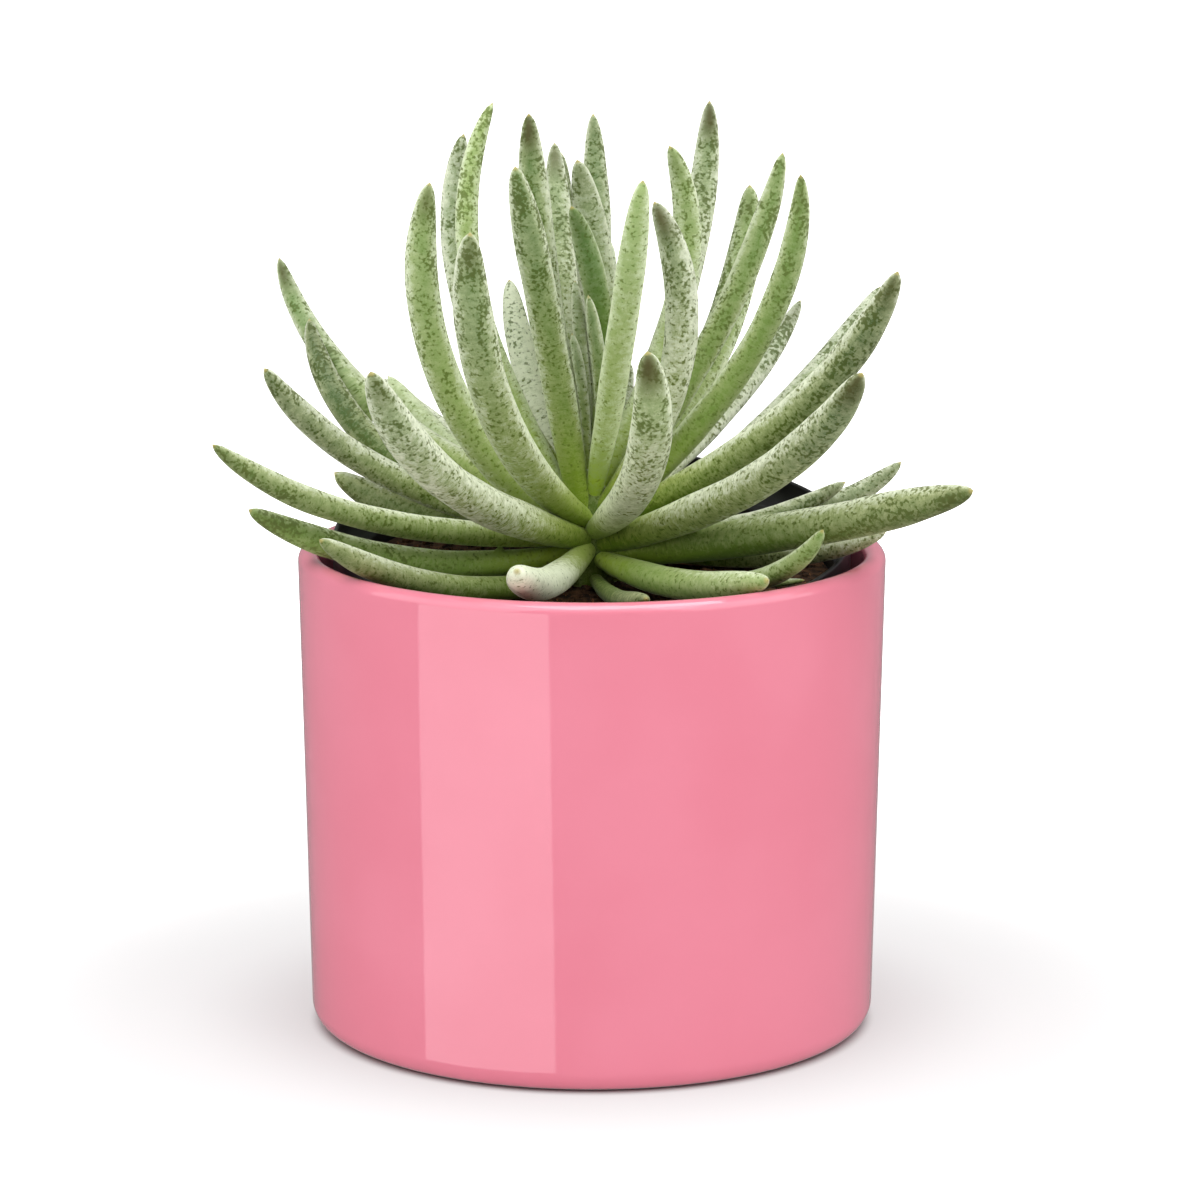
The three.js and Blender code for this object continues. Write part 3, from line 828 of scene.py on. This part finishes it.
def leaf_line(leaf, start):
    """The bent centre line: at each step a point, the way the upper face looks and the way across."""
    azimuth, rise = math.radians(leaf.azimuth), math.radians(leaf.rise)
    outward = Vector((math.sin(azimuth), -math.cos(azimuth), 0))
    along = outward * math.cos(rise) + UP * math.sin(rise)
    over = UP * math.cos(rise) - outward * math.sin(rise)
    side = along.cross(over)

    def frame_at(share):
        lift = math.radians(leaf.curl) * share ** leaf.bend
        drift = math.radians(leaf.sway) * share ** leaf.bend
        level = along * math.cos(lift) + over * math.sin(lift)
        heading = level * math.cos(drift) + side * math.sin(drift)
        facing = over * math.cos(lift) - along * math.sin(lift)
        return heading, facing, heading.cross(facing)

    point = Vector(start)
    back = along * ROOT_LENGTH / ROOT_STEPS
    line = [(point - back * k, over, side) for k in range(ROOT_STEPS, 0, -1)]
    for step in range(LEAF_STEPS + 1):
        heading, facing, across = frame_at(step / LEAF_STEPS)
        line.append((point.copy(), facing, across))
        point += frame_at((step + 0.5) / LEAF_STEPS)[0] * leaf.length / LEAF_STEPS
    return line


def bent_leaf(leaf, start, flatness, seed):
    shape = straight_leaf(leaf, flatness, seed)
    line = leaf_line(leaf, start)
    for vert in shape.verts:
        point, facing, across = line[round(vert.co.z)]
        vert.co = point + across * vert.co.x + facing * vert.co.y
    bmesh.ops.recalc_face_normals(shape, faces=shape.faces)
    return shape


# %% [markdown]
# The stem is short and nearly hidden. It is turned like the pots, and it holds the youngest leaves,
# which are one body with it.

# %% Stem and youngest leaves
STEM_HEIGHTS = [80, 98, 106, 114]
STEM_RADII = [5.5, 5, 3.6, 2.4]
STEM_TIP = 1.5
# The stem is deep green all over, which paints the shade that it stands in among the leaf bases.
STEM_SKIN = {"leaf_place": (0.4, 50, 0), "leaf_coat": (0, 0.2, 0.2), "leaf_tone": (0.3, 1, 0)}
YOUNG_SEED = 60


def stem_radius(height):
    upper = next((k for k, level in enumerate(STEM_HEIGHTS) if height <= level), len(STEM_HEIGHTS) - 1)
    upper = max(1, upper)
    low, high = STEM_HEIGHTS[upper - 1], STEM_HEIGHTS[upper]
    return mix(STEM_RADII[upper - 1], STEM_RADII[upper], min(1, (height - low) / (high - low)))


def leaf_start(leaf):
    root = stem_radius(leaf.height) - SUNK
    azimuth = math.radians(leaf.azimuth)
    return (root * math.sin(azimuth), -root * math.cos(azimuth), leaf.height)


def merge_into(shape, other):
    """Adds another shape's mesh to a shape, with its layers."""
    carrier = bpy.data.meshes.new("carrier")
    other.to_mesh(carrier)
    other.free()
    shape.from_mesh(carrier)
    bpy.data.meshes.remove(carrier)


def box_of(shape):
    """Lowest and highest corner of a shape."""
    low = Vector([min(vert.co[axis] for vert in shape.verts) for axis in range(3)])
    high = Vector([max(vert.co[axis] for vert in shape.verts) for axis in range(3)])
    return low, high


def crown_shape():
    outline = [(0, STEM_HEIGHTS[0]), *zip(STEM_RADII, STEM_HEIGHTS), (0, STEM_HEIGHTS[-1] + STEM_TIP)]
    shape = spun(outline, steps=32)
    layers = shape.verts.layers.float_vector
    for name in LEAF_LAYERS:
        layers.new(name)
    for vert in shape.verts:
        vert[layers["leaf_space"]] = vert.co
        for name, values in STEM_SKIN.items():
            vert[layers[name]] = values
    for k, row in enumerate(YOUNG_LEAVES):
        leaf = leaf_from_row(row)
        merge_into(shape, bent_leaf(leaf, leaf_start(leaf), FLATNESS, YOUNG_SEED + k))
    return shape


crown_form = crown_shape()
placed = [(BVHTree.FromBMesh(crown_form), box_of(crown_form))]
crown = finished_piece(crown_form, "crown_with_young_leaves", FELT, "crown")
print("crown:", len(crown.data.polygons), "faces")

# %% [markdown]
# Soft leaves that meet press against each other. They are placed in the order of the table, and a
# point that would be inside an earlier leaf is put back on that leaf's skin. The roots are left as
# they are, because there the leaves meet the stem.

# %% Place the leaves
PRESS_DEPTH = 1.5
PRESS_GAP = 0.05
ROOT_FREE = 16


def boxes_meet(one, other):
    return all(one[0][axis] < other[1][axis] and other[0][axis] < one[1][axis] for axis in range(3))


def press_against(shape, placed):
    """Puts points back that are less than a little way inside a placed leaf, but none near the root."""
    box = box_of(shape)
    place = shape.verts.layers.float_vector["leaf_place"]
    near = [(tree, low, high) for tree, (low, high) in placed if boxes_meet(box, (low, high))]
    pressed = 0
    for vert in shape.verts:
        share, to_tip, _ = vert[place]
        if share < 1 and to_tip * share / (1 - share) < ROOT_FREE:
            continue
        for tree, low, high in near:
            if not all(low[axis] < vert.co[axis] < high[axis] for axis in range(3)):
                continue
            spot, normal, _, _ = tree.find_nearest(vert.co, PRESS_DEPTH)
            if spot and (vert.co - spot).dot(normal) < 0:
                vert.co = spot + normal * PRESS_GAP
                pressed += 1
    return pressed


pressed_points = 0
for k, row in enumerate(LEAVES, start=1):
    leaf = leaf_from_row(row)
    shape = bent_leaf(leaf, leaf_start(leaf), FLATNESS, k)
    pressed_points += press_against(shape, placed)
    placed.append((BVHTree.FromBMesh(shape), box_of(shape)))
    finished_piece(shape, f"felted_leaf_{k:02d}", FELT, f"leaf_{k:02d}")
print(len(LEAVES), "leaves placed,", pressed_points, "points pressed back")

# %% [markdown]
# The dead leaves come last. Each is thinner than a living one, and lies where its row starts it.

# %% Place the dead leaves
DRY_SEED = 80

for k, (start, row) in enumerate(DRY_LEAVES, start=1):
    shape = bent_leaf(leaf_from_row(row), start, DRY_FLATNESS, DRY_SEED + k)
    press_against(shape, placed)
    finished_piece(shape, f"dead_leaf_{k}", DRIED, f"dry_leaf_{k}")
print(len(DRY_LEAVES), "dead leaves placed")

# %% [markdown]
# ## Studio
#
# A white sweep, lit brighter than white, so that only the soft shadow around the pot shows on it.
# The brightness is painted light: the paper glows, as a light below a glass table would, and only
# rays from the camera see it glow. Those rays also see the paper darker than other rays do. The glow
# fades next to the pot and is gone under it, so the soft shadow round the pot is partly cast and
# partly painted. Distances are in metres.

# %% Floor
FLOOR_WHITE = 0.8
SEEN_WHITE = 0.35
PAINTED_SHADOW_UNDER_POT = (0.055, 0.059)
PAINTED_SHADOW_NEAR_POT = (0.05, 0.09)
NEAR_GLOW = (0.4, 0.56)
AWAY_FROM_POT = (0.08, 0.3)
SWEEP_REACH = 6


def sweep_paper():
    material, add, shader = new_finish("white_paper_sweep")
    material.node_tree.nodes.remove(shader)
    away = add("length", add("coordinates"))
    seen = add("camera_ray")
    # Painted shadow: no glow under the pot.
    clear = add("times", seen, add("fade", away, *PAINTED_SHADOW_UNDER_POT))
    # Painted glow, weaker near the pot, which paints the soft shadow round it.
    painted_glow = add("plus", add("fade", away, *PAINTED_SHADOW_NEAR_POT, *NEAR_GLOW), add("fade", away, *AWAY_FROM_POT))
    # Rays from the camera see darker paper, and the painted glow makes up the rest.
    white = add("blend", seen, (*[FLOOR_WHITE] * 3, 1), (*[SEEN_WHITE] * 3, 1))
    paper = add("both", add("diffuse", white), add("emission", add("times", painted_glow, clear)))
    fill(material.node_tree.nodes["Material Output"], {"Surface": paper})
    return material


def white_sweep():
    shape = bmesh.new()
    bmesh.ops.create_grid(shape, x_segments=1, y_segments=1, size=SWEEP_REACH)
    mesh = bpy.data.meshes.new("sweep")
    shape.to_mesh(mesh)
    shape.free()
    mesh.materials.append(sweep_paper())
    sweep = bpy.data.objects.new("sweep", mesh)
    bpy.context.scene.collection.objects.link(sweep)
    sweep.visible_glossy = False


white_sweep()
print("floor reaches", SWEEP_REACH, "m")

# %% [markdown]
# Light comes dimly from all round, and from four large soft boxes above, in front and at the sides.
# A fifth, low at the left, is what shows as the pale upright band in the glaze, and a sixth, high up
# and bright, draws the highlight on the lip. Those two are seen in reflections and light nothing else.

# %% Lights
ROOM_RADIANCE = 0.3
AIM = Vector((0, 0, 0.08))


def soft_box(name, azimuth, elevation, distance, width, height, radiance, reflections_only=False):
    """A rectangle of light that faces the plant. Azimuth 0 is the camera's side, 90 the right."""
    light = bpy.data.lights.new(name, "AREA")
    light.shape = "RECTANGLE"
    light.size, light.size_y = width, height
    light.energy = radiance * math.pi * width * height
    box = bpy.data.objects.new(name, light)
    bpy.context.scene.collection.objects.link(box)
    around, up = math.radians(azimuth), math.radians(elevation)
    away = Vector((math.sin(around) * math.cos(up), -math.cos(around) * math.cos(up), math.sin(up)))
    box.location = AIM + away * distance
    box.rotation_euler = away.to_track_quat("Z", "Y").to_euler()
    box.visible_camera = False
    box.visible_diffuse = not reflections_only


soft_box("left_box", -62, 32, 1.2, 1.5, 1.0, 1.7)
soft_box("right_box", 66, 32, 1.2, 1.3, 1.0, 1.8)
soft_box("overhead", 0, 78, 1.3, 1.6, 1.6, 1.5)
soft_box("front_box", 12, 50, 1.2, 1.2, 0.8, 1.0)
soft_box("band", -42, -12, 0.8, 0.78, 0.5, 2.0, reflections_only=True)
soft_box("lip_gloss", 30, 76, 1.2, 1.1, 0.7, 5.0, reflections_only=True)


def studio_room():
    """Dim even light from all round."""
    world = bpy.data.worlds.new("studio_room")
    world.use_nodes = True
    fill(world.node_tree.nodes["Background"], {"Color": (1, 1, 1, 1), "Strength": ROOM_RADIANCE})
    return world


bpy.context.scene.world = studio_room()

# %% [markdown]
# The camera stands a metre in front of the pot and looks a little down on it through a long lens, so
# the rim shows as a flat ellipse, which is what its pitch was worked out from. The Standard view
# transform keeps white paper white.

# %% Camera
CAMERA_PLACE = (0, -1.0186, 0.2953)
CAMERA_PITCH = 78.484
CAMERA_LENS = 152.3
CAMERA_SHIFT = 0.00675
SENSOR_WIDTH = 36

lens = bpy.data.cameras.new("camera")
lens.lens = CAMERA_LENS
lens.sensor_width = SENSOR_WIDTH
lens.shift_x = CAMERA_SHIFT
camera = bpy.data.objects.new("camera", lens)
camera.location = CAMERA_PLACE
camera.rotation_euler = (math.radians(CAMERA_PITCH), 0, 0)
bpy.context.scene.collection.objects.link(camera)
bpy.context.scene.camera = camera
bpy.context.scene.view_settings.view_transform = "Standard"
print("camera at", CAMERA_PLACE, "with a lens of", CAMERA_LENS, "mm")
